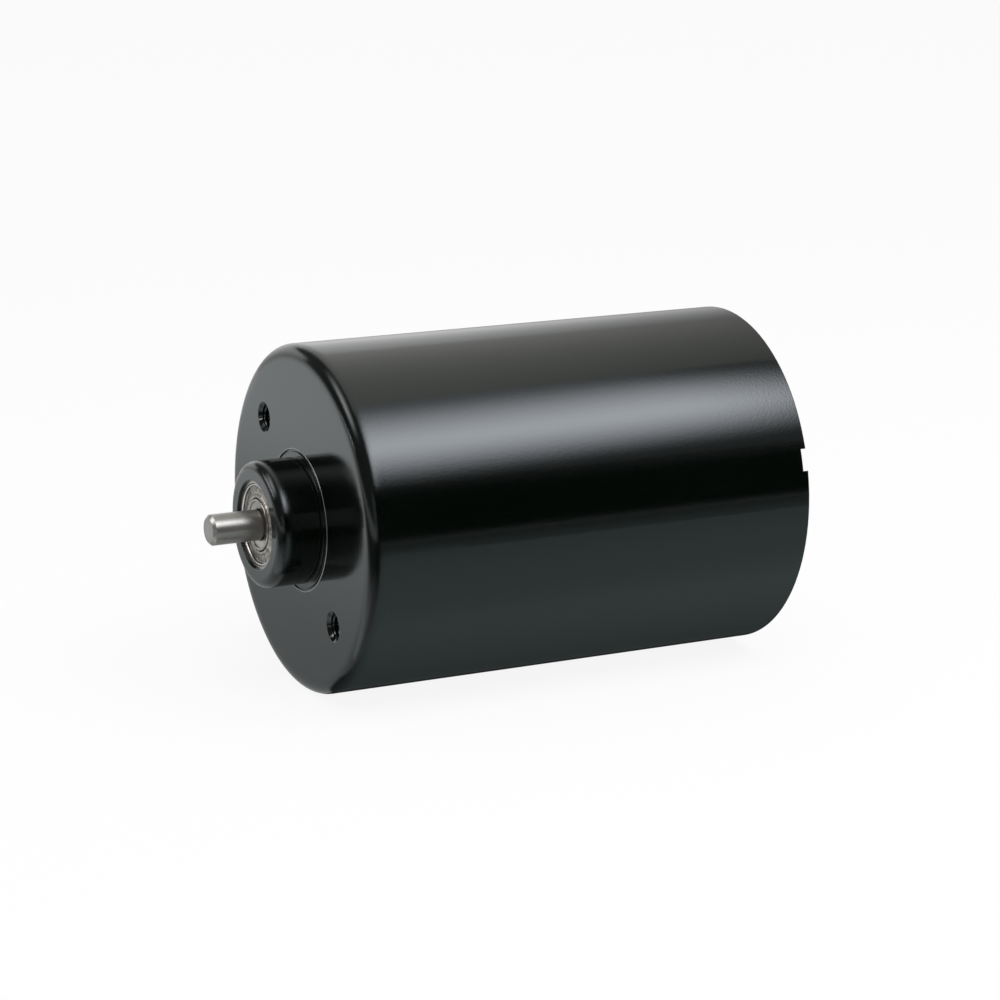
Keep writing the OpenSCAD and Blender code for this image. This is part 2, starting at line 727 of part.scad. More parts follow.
module rotor_magnets() color([0.3, 0.3, 0.33]) axial()
    for (i = [0 : poles - 1]) rotate([0, 0, i * 360 / poles]) translate([0, 0, rotor_s])
        linear_extrude(rotor_end_s - rotor_s)
            arc_piece(magnet_r, core_r, 180 / poles - asin(magnet_gap / 2 / core_r));

module rotor_sleeve() color([0.66, 0.67, 0.69]) axial()
    ring(rotor_r, magnet_r, rotor_s, rotor_end_s - rotor_s);

// A brass ring with shallow drilled marks where it was balanced
module balance_ring() {
    outer = core_r - balance_step;
    difference() {
        ring(outer, shaft_mid_d / 2, 0, balance_t);
        for (i = [0 : balance_marks - 1]) rotate([0, 0, i * tooth_step])
            translate([(outer + shaft_mid_d / 2) / 2, 0, -over])
                cylinder(d = (outer - shaft_mid_d / 2) * core_hole_share, h = balance_t / 2 + over);
    }
}

module front_balance_ring() color([0.78, 0.62, 0.28]) axial()
    translate([0, 0, rotor_s - balance_t]) balance_ring();

module rear_balance_ring() color([0.78, 0.62, 0.28]) axial()
    translate([0, 0, rotor_end_s + balance_t]) mirror([0, 0, 1]) balance_ring();

module front_spacer() color([0.8, 0.66, 0.32]) axial()
    ring(shaft_mid_d / 2, bearing_bore_d / 2, front_bearing_s + bearing_w, front_spacer_w);

module rear_spacer() color([0.8, 0.66, 0.32]) axial()
    ring(shaft_mid_d / 2, bearing_bore_d / 2, rear_shoulder_s, rear_spacer_w);

can();
end_bell();
wave_washer();
bearing_outer_ring(front_bearing_s);  // front_bearing_outer_ring
bearing_inner_ring(front_bearing_s);  // front_bearing_inner_ring
bearing_balls(front_bearing_s);  // front_bearing_balls
bearing_cage(front_bearing_s);  // front_bearing_cage
bearing_shields(front_bearing_s);  // front_bearing_shields
bearing_outer_ring(rear_bearing_s);  // rear_bearing_outer_ring
bearing_inner_ring(rear_bearing_s);  // rear_bearing_inner_ring
bearing_balls(rear_bearing_s);  // rear_bearing_balls
bearing_cage(rear_bearing_s);  // rear_bearing_cage
bearing_shields(rear_bearing_s);  // rear_bearing_shields
stator_core();
front_slot_insulator();
rear_slot_insulator();
phase_coils(0);  // phase_u_coils
phase_coils(1);  // phase_v_coils
phase_coils(2);  // phase_w_coils
winding_terminals();
driver_board();
board_screws();
hall_sensors();
driver_chip();
power_transistors();
filter_capacitors();
connector_housing();
connector_pins();
shaft();
rotor_core();
rotor_magnets();
rotor_sleeve();
front_balance_ring();
rear_balance_ring();
front_spacer();
rear_spacer();
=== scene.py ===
# A 36 mm brushless dc motor lying on a pale table, seen from its shaft end.
# The motor's axis is Y and the shaft points to -Y. Lengths are in metres where no note says millimetres.
import bpy
import math
from mathutils import Matrix, Quaternion, Vector


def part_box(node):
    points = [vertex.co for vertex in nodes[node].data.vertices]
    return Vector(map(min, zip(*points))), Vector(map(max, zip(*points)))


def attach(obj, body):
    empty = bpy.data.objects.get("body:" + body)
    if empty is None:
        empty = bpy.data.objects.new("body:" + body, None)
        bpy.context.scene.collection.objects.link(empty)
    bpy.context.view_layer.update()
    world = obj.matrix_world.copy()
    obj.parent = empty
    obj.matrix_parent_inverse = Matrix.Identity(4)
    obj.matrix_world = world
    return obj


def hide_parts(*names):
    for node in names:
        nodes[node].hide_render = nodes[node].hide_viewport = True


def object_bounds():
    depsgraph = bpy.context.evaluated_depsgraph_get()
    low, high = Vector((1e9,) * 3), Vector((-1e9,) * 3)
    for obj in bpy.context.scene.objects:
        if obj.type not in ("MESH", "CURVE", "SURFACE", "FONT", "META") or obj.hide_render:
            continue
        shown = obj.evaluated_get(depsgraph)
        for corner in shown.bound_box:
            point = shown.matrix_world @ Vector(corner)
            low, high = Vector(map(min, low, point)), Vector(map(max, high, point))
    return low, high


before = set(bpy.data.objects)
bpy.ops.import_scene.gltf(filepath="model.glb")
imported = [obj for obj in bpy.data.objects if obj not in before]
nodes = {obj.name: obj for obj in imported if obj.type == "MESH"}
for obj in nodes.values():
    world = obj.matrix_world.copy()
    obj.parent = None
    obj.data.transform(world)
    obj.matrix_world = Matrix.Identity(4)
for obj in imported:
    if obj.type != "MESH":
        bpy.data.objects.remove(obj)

cadLow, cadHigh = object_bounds()
print("the frame is loaded with", len(nodes), "nodes")


# Camera, fitted to the photograph's outline of the can and shaft
cameraValues = {
    "place": (0.285723, -0.121770, 0.074780),
    "looksAlong": (-0.86837, 0.44024, -0.22830),
    "lens": 112.6,
    "sensor": 36,
    "nearest": 0.01,
    "farthest": 20,
}


def addCamera(values):
    cameraData = bpy.data.cameras.new("camera")
    cameraData.lens = values["lens"]
    cameraData.sensor_width = values["sensor"]
    cameraData.clip_start = values["nearest"]
    cameraData.clip_end = values["farthest"]
    camera = bpy.data.objects.new("camera", cameraData)
    bpy.context.scene.collection.objects.link(camera)
    camera.location = values["place"]
    camera.rotation_mode = "QUATERNION"
    camera.rotation_quaternion = Vector(values["looksAlong"]).to_track_quat("-Z", "Y")
    bpy.context.scene.camera = camera


addCamera(cameraValues)
print("the camera is set")


# Helpers for node trees
def clearTree(owner):
    owner.use_nodes = True
    owner.node_tree.nodes.clear()
    return owner.node_tree


def fillSocket(tree, socket, value):
    if isinstance(value, bpy.types.NodeSocket):
        tree.links.new(value, socket)
    else:
        socket.default_value = value


def addNode(tree, kind, place, settings=None, inputs=None):
    node = tree.nodes.new(kind)
    node.location = place
    for name, value in (settings or {}).items():
        setattr(node, name, value)
    for name, value in (inputs or {}).items():
        fillSocket(tree, node.inputs[name], value)
    return node


def addMath(tree, operation, place, *values, clamp=False):
    node = addNode(tree, "ShaderNodeMath", place, {"operation": operation, "use_clamp": clamp})
    for slot, value in enumerate(values):
        fillSocket(tree, node.inputs[slot], value)
    return node.outputs[0]


def useGroup(tree, group, place, inputs=None):
    return addNode(tree, "ShaderNodeGroup", place, {"node_tree": group}, inputs)


def objectPlace(tree, place):
    return addNode(tree, "ShaderNodeTexCoord", place).outputs["Object"]


def splitPlace(tree, place):
    point = objectPlace(tree, (place[0] - 200, place[1]))
    return addNode(tree, "ShaderNodeSeparateXYZ", place, None, {"Vector": point}).outputs


def startGroup(name, inputs, outputs):
    tree = bpy.data.node_groups.new(name, "ShaderNodeTree")
    for socketName, value in inputs.items():
        socket = tree.interface.new_socket(name=socketName, in_out="INPUT", socket_type="NodeSocketFloat")
        socket.default_value = value
    for socketName in outputs:
        tree.interface.new_socket(name=socketName, in_out="OUTPUT", socket_type="NodeSocketFloat")
    start = addNode(tree, "NodeGroupInput", (-1200, 0))
    end = addNode(tree, "NodeGroupOutput", (800, 0))
    return tree, start, end


# The mix node takes its factor in socket 0 and its colours in 6 and 7, and gives the colour from 2
def mixShades(tree, place, factor, first, second):
    node = addNode(tree, "ShaderNodeMix", place, {"data_type": "RGBA"})
    for slot, value in ((0, factor), (6, first), (7, second)):
        fillSocket(tree, node.inputs[slot], (*value, 1) if isinstance(value, tuple) else value)
    return node.outputs[2]


# Maps 0 to 1 onto low to high
def spread(tree, place, value, low, high):
    node = addNode(tree, "ShaderNodeMapRange", place, None, {"Value": value, "To Min": low, "To Max": high})
    return node.outputs["Result"]


# Maps the stretch between two values onto low to 1
def ramp(tree, place, value, first, last, low=0.0, kind="LINEAR"):
    node = addNode(tree, "ShaderNodeMapRange", place, {"interpolation_type": kind},
                   {"Value": value, "From Min": first, "From Max": last, "To Min": low})
    return node.outputs["Result"]


# Distance from the motor's axis, place along it and turn round it, all from Object coordinates
def makeAxisPlace():
    tree, _, end = startGroup("axisPlace", {}, ["Radius", "Along", "Turn"])
    x, y, z = splitPlace(tree, (-800, 0))
    squareX = addMath(tree, "MULTIPLY", (-600, 200), x, x)
    squares = addMath(tree, "MULTIPLY_ADD", (-400, 200), z, z, squareX)
    tree.links.new(addMath(tree, "SQRT", (-200, 200), squares), end.inputs["Radius"])
    tree.links.new(y, end.inputs["Along"])
    tree.links.new(addMath(tree, "ARCTAN2", (-400, -200), x, z), end.inputs["Turn"])
    return tree


# Fine grain of a sprayed or moulded surface: a height for the bump and a shade from 0 to 1
def makeFineGrain():
    tree, start, end = startGroup("fineGrain", {"Grain Size": 0.0003, "Cloud Size": 0.01}, ["Height", "Cloud"])
    point = objectPlace(tree, (-1000, 0))
    grainScale = addMath(tree, "DIVIDE", (-800, -200), 1.0, start.outputs["Grain Size"])
    cloudScale = addMath(tree, "DIVIDE", (-800, -400), 1.0, start.outputs["Cloud Size"])
    grain = addNode(tree, "ShaderNodeTexNoise", (-500, 0), None,
                    {"Vector": point, "Scale": grainScale, "Detail": 2.0, "Roughness": 0.55})
    cloud = addNode(tree, "ShaderNodeTexNoise", (-500, -300), None,
                    {"Vector": point, "Scale": cloudScale, "Detail": 3.0, "Roughness": 0.6})
    tree.links.new(grain.outputs["Fac"], end.inputs["Height"])
    tree.links.new(cloud.outputs["Fac"], end.inputs["Cloud"])
    return tree


# A worn ring at a given radius and place along the axis, broken up by noise
def makeEdgeWear():
    inputs = {"Radius": 0.017, "Along": 0.05, "Width": 0.0002, "Breaks": 0.5, "Break Scale": 900.0,
              "Sharpness": 6.0}
    tree, start, end = startGroup("edgeWear", inputs, ["Mask"])
    place = useGroup(tree, axisPlace, (-1000, 200))
    fromRadius = addMath(tree, "SUBTRACT", (-800, 300), place.outputs["Radius"], start.outputs["Radius"])
    fromAlong = addMath(tree, "SUBTRACT", (-800, 100), place.outputs["Along"], start.outputs["Along"])
    squareRadius = addMath(tree, "MULTIPLY", (-600, 300), fromRadius, fromRadius)
    squares = addMath(tree, "MULTIPLY_ADD", (-400, 200), fromAlong, fromAlong, squareRadius)
    distance = addMath(tree, "SQRT", (-200, 200), squares)
    share = addMath(tree, "DIVIDE", (0, 200), distance, start.outputs["Width"])
    near = addMath(tree, "SUBTRACT", (200, 200), 1.0, share, clamp=True)
    noise = addNode(tree, "ShaderNodeTexNoise", (-600, -300), None,
                    {"Vector": objectPlace(tree, (-1000, -300)), "Scale": start.outputs["Break Scale"],
                     "Detail": 4.0, "Roughness": 0.65})
    keep = addMath(tree, "SUBTRACT", (-200, -300), noise.outputs["Fac"], start.outputs["Breaks"])
    sharp = addMath(tree, "MULTIPLY", (0, -300), keep, start.outputs["Sharpness"], clamp=True)
    tree.links.new(addMath(tree, "MULTIPLY", (500, 0), near, sharp, clamp=True), end.inputs["Mask"])
    return tree


# Fine rings left by turning or grinding: they change with radius and place, and wander a little with the turn
def makeTurnedMarks():
    inputs = {"Mark Width": 0.00004, "Unevenness": 0.3, "Band Share": 0.12}
    tree, start, end = startGroup("turnedMarks", inputs, ["Height", "Shade"])
    place = useGroup(tree, axisPlace, (-1000, 200))
    wobble = addMath(tree, "MULTIPLY", (-800, -100), start.outputs["Unevenness"], start.outputs["Mark Width"])
    shifted = addMath(tree, "MULTIPLY_ADD", (-600, -100), place.outputs["Turn"], wobble, place.outputs["Along"])
    joined = addNode(tree, "ShaderNodeCombineXYZ", (-400, 100), None,
                     {"X": place.outputs["Radius"], "Y": shifted})
    scale = addMath(tree, "DIVIDE", (-600, -300), 1.0, start.outputs["Mark Width"])
    noise = addNode(tree, "ShaderNodeTexNoise", (-200, 100), None,
                    {"Vector": joined.outputs[0], "Scale": scale, "Detail": 3.0, "Roughness": 0.7})
    tree.links.new(noise.outputs["Fac"], end.inputs["Height"])
    broad = addMath(tree, "MULTIPLY", (-400, -300), scale, start.outputs["Band Share"])
    bands = addNode(tree, "ShaderNodeTexNoise", (-200, -300), None,
                    {"Vector": joined.outputs[0], "Scale": broad, "Detail": 2.0})
    tree.links.new(bands.outputs["Fac"], end.inputs["Shade"])
    return tree


# Short marks that point at the axis, as on a pressed and tumbled shield
def makeRadialMarks():
    tree, start, end = startGroup("radialMarks", {"Turns": 14.0, "Reach": 0.001}, ["Shade"])
    place = useGroup(tree, axisPlace, (-1000, 200))
    sine = addMath(tree, "SINE", (-800, 100), place.outputs["Turn"])
    cosine = addMath(tree, "COSINE", (-800, -100), place.outputs["Turn"])
    across = addMath(tree, "MULTIPLY", (-600, 100), sine, start.outputs["Turns"])
    upward = addMath(tree, "MULTIPLY", (-600, -100), cosine, start.outputs["Turns"])
    inward = addMath(tree, "DIVIDE", (-600, 300), place.outputs["Radius"], start.outputs["Reach"])
    joined = addNode(tree, "ShaderNodeCombineXYZ", (-400, 100), None, {"X": across, "Y": upward, "Z": inward})
    noise = addNode(tree, "ShaderNodeTexNoise", (-200, 100), None,
                    {"Vector": joined.outputs[0], "Scale": 1.0, "Detail": 4.0, "Roughness": 0.62})
    tree.links.new(noise.outputs["Fac"], end.inputs["Shade"])
    return tree


# Straight layers along the axis, as in a stack of punched sheets
def makeSheetLayers():
    tree, start, end = startGroup("sheetLayers", {"Sheet": 0.00035, "Flat Half": 0.42}, ["Height", "Shade"])
    place = useGroup(tree, axisPlace, (-1000, 200))
    count = addMath(tree, "DIVIDE", (-800, 100), place.outputs["Along"], start.outputs["Sheet"])
    fraction = addMath(tree, "FRACT", (-600, 100), count)
    centred = addMath(tree, "SUBTRACT", (-400, 100), fraction, 0.5)
    size = addMath(tree, "ABSOLUTE", (-200, 100), centred)
    groove = addMath(tree, "GREATER_THAN", (0, 100), size, start.outputs["Flat Half"])
    tree.links.new(addMath(tree, "SUBTRACT", (200, 100), 1.0, groove), end.inputs["Height"])
    whole = addMath(tree, "FLOOR", (-600, -100), count)
    noise = addNode(tree, "ShaderNodeTexWhiteNoise", (-400, -100), {"noise_dimensions": "1D"}, {"W": whole})
    tree.links.new(noise.outputs["Value"], end.inputs["Shade"])
    return tree


# Turns of wire that lie beside each other, stepping out from the axis
def makeWireTurns():
    tree, start, end = startGroup("wireTurns", {"Wire": 0.0005}, ["Height", "Shade"])
    place = useGroup(tree, axisPlace, (-1000, 200))
    count = addMath(tree, "DIVIDE", (-800, 100), place.outputs["Radius"], start.outputs["Wire"])
    fraction = addMath(tree, "FRACT", (-600, 100), count)
    angle = addMath(tree, "MULTIPLY", (-400, 100), fraction, math.pi)
    tree.links.new(addMath(tree, "SINE", (-200, 100), angle), end.inputs["Height"])
    whole = addMath(tree, "FLOOR", (-600, -100), count)
    noise = addNode(tree, "ShaderNodeTexWhiteNoise", (-400, -100), {"noise_dimensions": "1D"}, {"W": whole})
    tree.links.new(noise.outputs["Value"], end.inputs["Shade"])
    return tree


axisPlace = makeAxisPlace()
fineGrain = makeFineGrain()
edgeWear = makeEdgeWear()
turnedMarks = makeTurnedMarks()
radialMarks = makeRadialMarks()
sheetLayers = makeSheetLayers()
wireTurns = makeWireTurns()
print("the shader node groups are made")


# Helpers for materials
def startMaterial(name, shaderInputs):
    material = bpy.data.materials.new(name)
    tree = clearTree(material)
    output = addNode(tree, "ShaderNodeOutputMaterial", (900, 0))
    shader = addNode(tree, "ShaderNodeBsdfPrincipled", (600, 0), None, shaderInputs)
    tree.links.new(shader.outputs["BSDF"], output.inputs["Surface"])
    return material, tree, shader


# The colour, and the roughness between two values where a mask is given
def setShade(tree, shader, shade, mask=None, roughness=None):
    tree.links.new(shade, shader.inputs["Base Color"])
    if mask is not None:
        tree.links.new(spread(tree, (200, -100), mask, *roughness), shader.inputs["Roughness"])


bevelSamples = 12    # fewer leave grain in the coat's soft edges


# A bump in the surface, with the edges rounded off where an edge radius is given
def addBump(tree, shader, height, distance, edgeRadius=None):
    inputs = {"Height": height, "Distance": distance}
    if edgeRadius is not None:
        edge = addNode(tree, "ShaderNodeBevel", (100, -500), {"samples": bevelSamples}, {"Radius": edgeRadius})
        inputs["Normal"] = edge.outputs["Normal"]
    bump = addNode(tree, "ShaderNodeBump", (300, -400), None, inputs)
    tree.links.new(bump.outputs["Normal"], shader.inputs["Normal"])


# The black coat of the can: fine grain, clouds, speckles and edges that are worn in places
blackCoatValues = {
    "color": (0.0008, 0.0018, 0.0010),
    "cloudColor": (0.0034, 0.0050, 0.0041),
    "speckleSize": 0.00013,
    "speckle": (-1.4, 2.0),           # how far the speckles darken and lighten the clouds
    "wornColor": (0.035, 0.035, 0.036),
    "roughness": (0.085, 0.115),
    "gloss": (0.94, 0.98, 1.0),
    "edgeRadius": 0.00012,
    "shoulderSoftness": 0.0014,
    "bossSoftness": 0.0013,
    "shoulder": (0.0150, 0.010),      # the shoulder is outside this radius and in front of this place
    "bossSide": (0.0056, -0.0026),    # the boss's front edge in the same way
    "grainSize": 0.00026,
    "grainHeight": 0.0000055,
    "cloudSize": 0.012,
    "rimRadius": 0.018,
    "rimAlong": 0.05,
    "rimWidth": 0.00012,
    "bossRadius": 0.0062,
    "bossAlong": -0.0048,
    "bossWidth": 0.0005,
    "bossBreaks": 0.56,
}


# The coat fills the shoulder of the can and the front edge of the boss more softly than the small edges.
# The radius is worked out here and not in a group, because it feeds a Bevel node.
def addSoftEdges(tree, values):
    x, y, z = splitPlace(tree, (-1200, -600))
    squares = addMath(tree, "ADD", (-800, -600), addMath(tree, "POWER", (-1000, -550), x, 2.0),
                      addMath(tree, "POWER", (-1000, -700), z, 2.0))
    radius = addMath(tree, "SQRT", (-600, -600), squares)
    shoulder = addMath(tree, "MULTIPLY", (-200, -500),
                       addMath(tree, "GREATER_THAN", (-400, -400), radius, values["shoulder"][0]),
                       addMath(tree, "LESS_THAN", (-400, -500), y, values["shoulder"][1]))
    onBoss = addMath(tree, "MULTIPLY", (-200, -700),
                     addMath(tree, "GREATER_THAN", (-400, -650), radius, values["bossSide"][0]),
                     addMath(tree, "LESS_THAN", (-400, -800), y, values["bossSide"][1]))
    softShoulder = spread(tree, (0, -500), shoulder, values["edgeRadius"], values["shoulderSoftness"])
    softBoss = spread(tree, (0, -700), onBoss, values["edgeRadius"], values["bossSoftness"])
    return addMath(tree, "MAXIMUM", (50, -600), softShoulder, softBoss)


def makeBlackCoat(values):
    material, tree, shader = startMaterial("blackCoat", {"IOR": 1.5, "Specular Tint": (*values["gloss"], 1)})
    grain = useGroup(tree, fineGrain, (-600, -200),
                     {"Grain Size": values["grainSize"], "Cloud Size": values["cloudSize"]})
    rim = useGroup(tree, edgeWear, (-600, 200),
                   {"Radius": values["rimRadius"], "Along": values["rimAlong"], "Width": values["rimWidth"]})
    boss = useGroup(tree, edgeWear, (-600, 0),
                    {"Radius": values["bossRadius"], "Along": values["bossAlong"], "Width": values["bossWidth"],
                     "Breaks": values["bossBreaks"]})
    worn = addMath(tree, "MAXIMUM", (-300, 100), rim.outputs["Mask"], boss.outputs["Mask"])
    speckle = addNode(tree, "ShaderNodeTexNoise", (-600, 400), None,
                      {"Scale": 1 / values["speckleSize"], "Detail": 0.0, "Vector": objectPlace(tree, (-800, 400))})
    tone = addMath(tree, "MULTIPLY", (-300, 300), grain.outputs["Cloud"],
                   spread(tree, (-450, 400), speckle.outputs["Fac"], *values["speckle"]))
    cloudy = mixShades(tree, (-100, 100), tone, values["color"], values["cloudColor"])
    shade = mixShades(tree, (200, 100), worn, cloudy, values["wornColor"])
    setShade(tree, shader, shade, grain.outputs["Cloud"], values["roughness"])
    addBump(tree, shader, grain.outputs["Height"], values["grainHeight"], addSoftEdges(tree, values))
    return material


# Moulded plastics: the end bell, the slot insulators, the connector and the cases of the chips
mouldedValues = {
    "blackNylon": {"color": (0.010, 0.010, 0.011), "light": (0.020, 0.020, 0.021), "roughness": (0.36, 0.5),
                   "grainSize": 0.00018, "grainHeight": 0.000005, "cloudSize": 0.006, "edgeRadius": 0.00016},
    "whiteNylon": {"color": (0.66, 0.63, 0.55), "light": (0.76, 0.74, 0.67), "roughness": (0.38, 0.5),
                   "grainSize": 0.00035, "grainHeight": 0.000004, "cloudSize": 0.006, "edgeRadius": 0.0001},
    "chipEpoxy": {"color": (0.014, 0.014, 0.016), "light": (0.03, 0.03, 0.032), "roughness": (0.5, 0.62),
                  "grainSize": 0.00012, "grainHeight": 0.000004, "cloudSize": 0.006, "edgeRadius": 0.00005},
}


def makeMoulded(name, values):
    material, tree, shader = startMaterial(name, {"IOR": 1.5})
    grain = useGroup(tree, fineGrain, (-600, 0),
                     {"Grain Size": values["grainSize"], "Cloud Size": values["cloudSize"]})
    shade = mixShades(tree, (-100, 100), grain.outputs["Cloud"], values["color"], values["light"])
    setShade(tree, shader, shade, grain.outputs["Cloud"], values["roughness"])
    addBump(tree, shader, grain.outputs["Height"], values["grainHeight"], values["edgeRadius"])
    return material


# Turned, ground, drawn and plated metals
metalGrainValues = {
    "grainSize": 0.00008,
    "cloudSize": 0.0016,
    "contrast": 3.0,
}
metalValues = {
    "groundShaft": {"color": (0.205, 0.196, 0.183), "light": (0.27, 0.258, 0.243), "roughness": (0.27, 0.37),
                    "markWidth": 0.00009, "markHeight": 0.000002, "metallic": 0.78},
    # a light grey bare metal for the groove's burr: a painted highlight, the thin bright line round the groove
    "burrHighlightMetal": {"color": (0.30, 0.31, 0.31), "light": (0.42, 0.43, 0.43), "roughness": (0.35, 0.5),
                 "markWidth": 0.0003, "markHeight": 0.000001},
    "bearingSteel": {"color": (0.20, 0.185, 0.17), "light": (0.35, 0.33, 0.30), "roughness": (0.2, 0.34),
                     "markWidth": 0.00006, "markHeight": 0.000002},
    "springSteel": {"color": (0.42, 0.41, 0.39), "light": (0.56, 0.55, 0.52), "roughness": (0.25, 0.4),
                    "markWidth": 0.0001, "markHeight": 0.000001},
    "clipSteel": {"color": (0.42, 0.41, 0.39), "light": (0.60, 0.59, 0.57), "roughness": (0.18, 0.3),
                  "markWidth": 0.00005, "markHeight": 0.0000005},
    "polishedSteel": {"color": (0.68, 0.68, 0.69), "light": (0.78, 0.78, 0.79), "roughness": (0.08, 0.16),
                      "markWidth": 0.00008, "markHeight": 0.0000003},
    "turnedBrass": {"color": (0.66, 0.46, 0.18), "light": (0.80, 0.60, 0.28), "roughness": (0.2, 0.34),
                    "markWidth": 0.00008, "markHeight": 0.000002},
    "magnetPlating": {"color": (0.34, 0.34, 0.36), "light": (0.46, 0.46, 0.49), "roughness": (0.22, 0.36),
                      "markWidth": 0.0003, "markHeight": 0.000001},
    "tinnedPins": {"color": (0.58, 0.56, 0.51), "light": (0.72, 0.71, 0.68), "roughness": (0.24, 0.42),
                   "markWidth": 0.0003, "markHeight": 0.000001},
    "capacitorSleeve": {"color": (0.40, 0.42, 0.45), "light": (0.52, 0.54, 0.58), "roughness": (0.28, 0.4),
                        "markWidth": 0.0004, "markHeight": 0.000001},
}


def makeMetal(name, values, grainValues):
    material, tree, shader = startMaterial(name, {"Metallic": values.get("metallic", 1.0)})
    marks = useGroup(tree, turnedMarks, (-600, 200), {"Mark Width": values["markWidth"]})
    grain = useGroup(tree, fineGrain, (-600, -200),
                     {"Grain Size": grainValues["grainSize"], "Cloud Size": grainValues["cloudSize"]})
    both = addMath(tree, "MULTIPLY", (-300, 100), marks.outputs["Shade"], grain.outputs["Cloud"])
    blend = addMath(tree, "MULTIPLY", (-200, 100), both, grainValues["contrast"], clamp=True)
    shade = mixShades(tree, (0, 100), blend, values["color"], values["light"])
    setShade(tree, shader, shade, grain.outputs["Cloud"], values["roughness"])
    addBump(tree, shader, marks.outputs["Height"], values["markHeight"])
    return material


# Pressed steel of the shields, with marks towards the axis and dark blotches near its outer edge
shieldValues = {
    "color": (0.17, 0.155, 0.14),
    "light": (0.44, 0.41, 0.37),
    "dark": (0.015, 0.013, 0.011),
    "contrast": (-1.8, 2.8),
    "roughness": (0.26, 0.5),
    "marks": {"Turns": 9.0, "Reach": 0.0006},
    "blotches": {"Turns": 5.0, "Reach": 0.0009},
    "blotchStart": 0.5,
    "blotchSharpness": 9.0,
    "darkRadius": 0.00408,
    "darkWidth": 0.0008,
    "markHeight": 0.00003,
}


def makeShieldSteel(values):
    material, tree, shader = startMaterial("shieldSteel", {"Metallic": 1.0})
    marks = useGroup(tree, radialMarks, (-600, 200), values["marks"])
    blotches = useGroup(tree, radialMarks, (-600, -200), values["blotches"])
    place = useGroup(tree, axisPlace, (-600, 0))
    contrast = spread(tree, (-300, 200), marks.outputs["Shade"], *values["contrast"])
    shade = mixShades(tree, (-100, 200), contrast, values["color"], values["light"])
    nearEdge = ramp(tree, (-300, 0), place.outputs["Radius"], values["darkRadius"] - values["darkWidth"],
                    values["darkRadius"])
    patch = addMath(tree, "SUBTRACT", (-300, -200), blotches.outputs["Shade"], values["blotchStart"])
    patchSharp = addMath(tree, "MULTIPLY", (-200, -200), patch, values["blotchSharpness"], clamp=True)
    darkMask = addMath(tree, "MULTIPLY", (0, -100), nearEdge, patchSharp, clamp=True)
    blotched = mixShades(tree, (200, 100), darkMask, shade, values["dark"])
    setShade(tree, shader, blotched, marks.outputs["Shade"], values["roughness"])
    addBump(tree, shader, marks.outputs["Shade"], values["markHeight"])
    return material


# Punched electrical steel, one sheet beside the next
electricalSteelValues = {
    "color": (0.20, 0.21, 0.23),
    "light": (0.36, 0.37, 0.40),
    "metallic": 0.9,
    "roughness": 0.42,
    "sheet": 0.00035,
    "grooveDepth": 0.00003,
}


def makeElectricalSteel(values):
    inputs = {"Metallic": values["metallic"], "Roughness": values["roughness"]}
    material, tree, shader = startMaterial("electricalSteel", inputs)
    layers = useGroup(tree, sheetLayers, (-600, 0), {"Sheet": values["sheet"]})
    shade = mixShades(tree, (-100, 100), layers.outputs["Shade"], values["color"], values["light"])
    setShade(tree, shader, shade)
    addBump(tree, shader, layers.outputs["Height"], values["grooveDepth"])
    return material


# Enamelled copper wire, wound turn beside turn and varnished
enamelValues = {
    "color": (0.40, 0.115, 0.03),
    "light": (0.56, 0.20, 0.06),
    "metallic": 0.75,
    "roughness": 0.22,
    "varnish": 0.6,
    "varnishRoughness": 0.1,
    "wire": 0.0005,
}


def makeEnamelledCopper(values):
    inputs = {"Metallic": values["metallic"], "Roughness": values["roughness"], "Coat Weight": values["varnish"],
              "Coat Roughness": values["varnishRoughness"]}
    material, tree, shader = startMaterial("enamelledCopper", inputs)
    turns = useGroup(tree, wireTurns, (-600, 0), {"Wire": values["wire"]})
    shade = mixShades(tree, (-100, 100), turns.outputs["Shade"], values["color"], values["light"])
    setShade(tree, shader, shade)
    addBump(tree, shader, turns.outputs["Height"], values["wire"] / 2)
    return material


# The driver board, with solder mask over its tracks
boardValues = {
    "mask": (0.012, 0.10, 0.035),
    "overCopper": (0.03, 0.19, 0.07),
    "roughness": 0.28,
    "trackSize": 0.0024,
    "trackShare": 0.42,
    "trackHeight": 0.00003,
}


def makeBoardLaminate(values):
    material, tree, shader = startMaterial("boardLaminate", {"Roughness": values["roughness"], "IOR": 1.5})
    cells = addNode(tree, "ShaderNodeTexVoronoi", (-600, 0), {"feature": "F1", "distance": "CHEBYCHEV"},
                    {"Vector": objectPlace(tree, (-900, 0)), "Scale": 1 / values["trackSize"]})
    track = addMath(tree, "LESS_THAN", (-300, 0), cells.outputs["Distance"], values["trackShare"])
    shade = mixShades(tree, (-100, 100), track, values["mask"], values["overCopper"])
    setShade(tree, shader, shade)
    addBump(tree, shader, track, values["trackHeight"])
    return material


blackCoat = makeBlackCoat(blackCoatValues)
moulded = {name: makeMoulded(name, values) for name, values in mouldedValues.items()}
metals = {name: makeMetal(name, values, metalGrainValues) for name, values in metalValues.items()}
shieldSteel = makeShieldSteel(shieldValues)
electricalSteel = makeElectricalSteel(electricalSteelValues)
enamelledCopper = makeEnamelledCopper(enamelValues)
boardLaminate = makeBoardLaminate(boardValues)
print("the materials are made")

